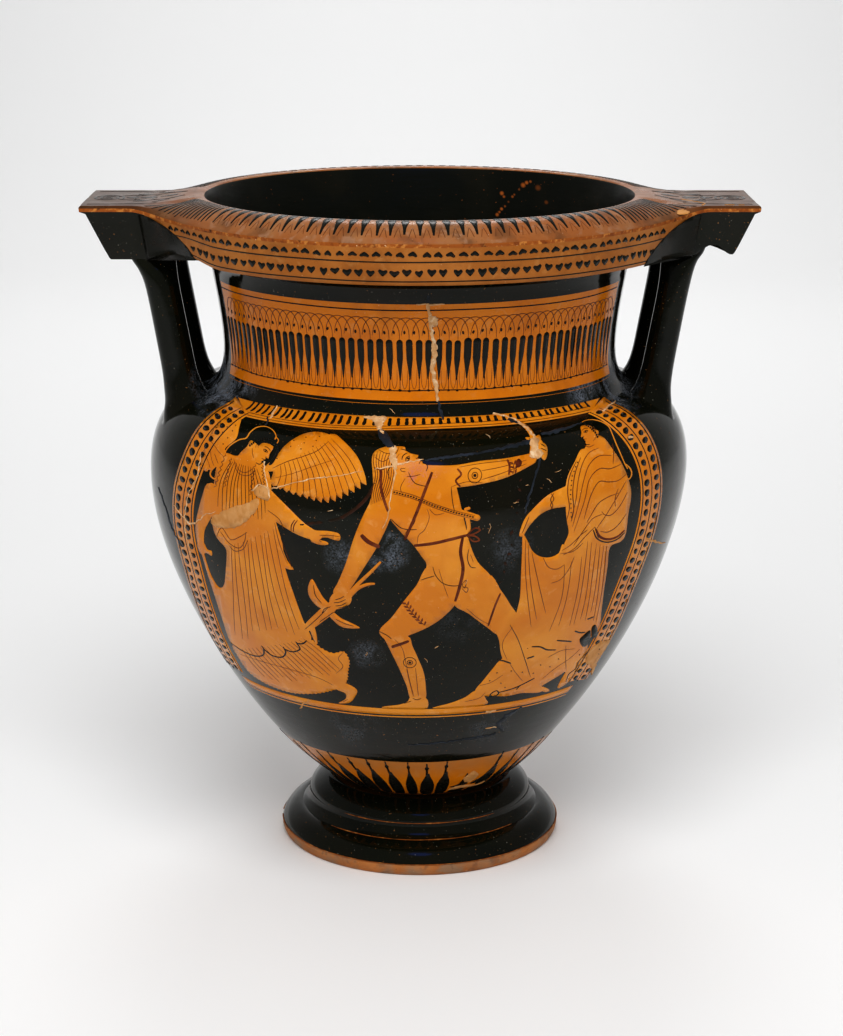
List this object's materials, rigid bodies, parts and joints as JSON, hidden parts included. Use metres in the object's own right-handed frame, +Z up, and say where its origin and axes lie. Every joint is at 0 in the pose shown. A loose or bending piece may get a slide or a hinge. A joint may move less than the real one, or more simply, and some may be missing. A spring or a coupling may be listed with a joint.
{
  "type": "greek column krater",
  "caption": "Wide-mouthed painted clay mixing bowl on a stepped foot, with an overhanging rim and a flat handle plate on columns at each side.",
  "frame": {"origin": "centre of the foot, on the surface it stands on", "axes": "+Z up, +X through one handle, painted front towards -Y"},
  "size_m": [0.475, 0.3908, 0.4807],
  "materials": {
    "black_gloss": "satin black clay slip over orange fired clay"
  },
  "bodies": {
    "root": {"krater": "black_gloss"}
  },
  "joints": []
}
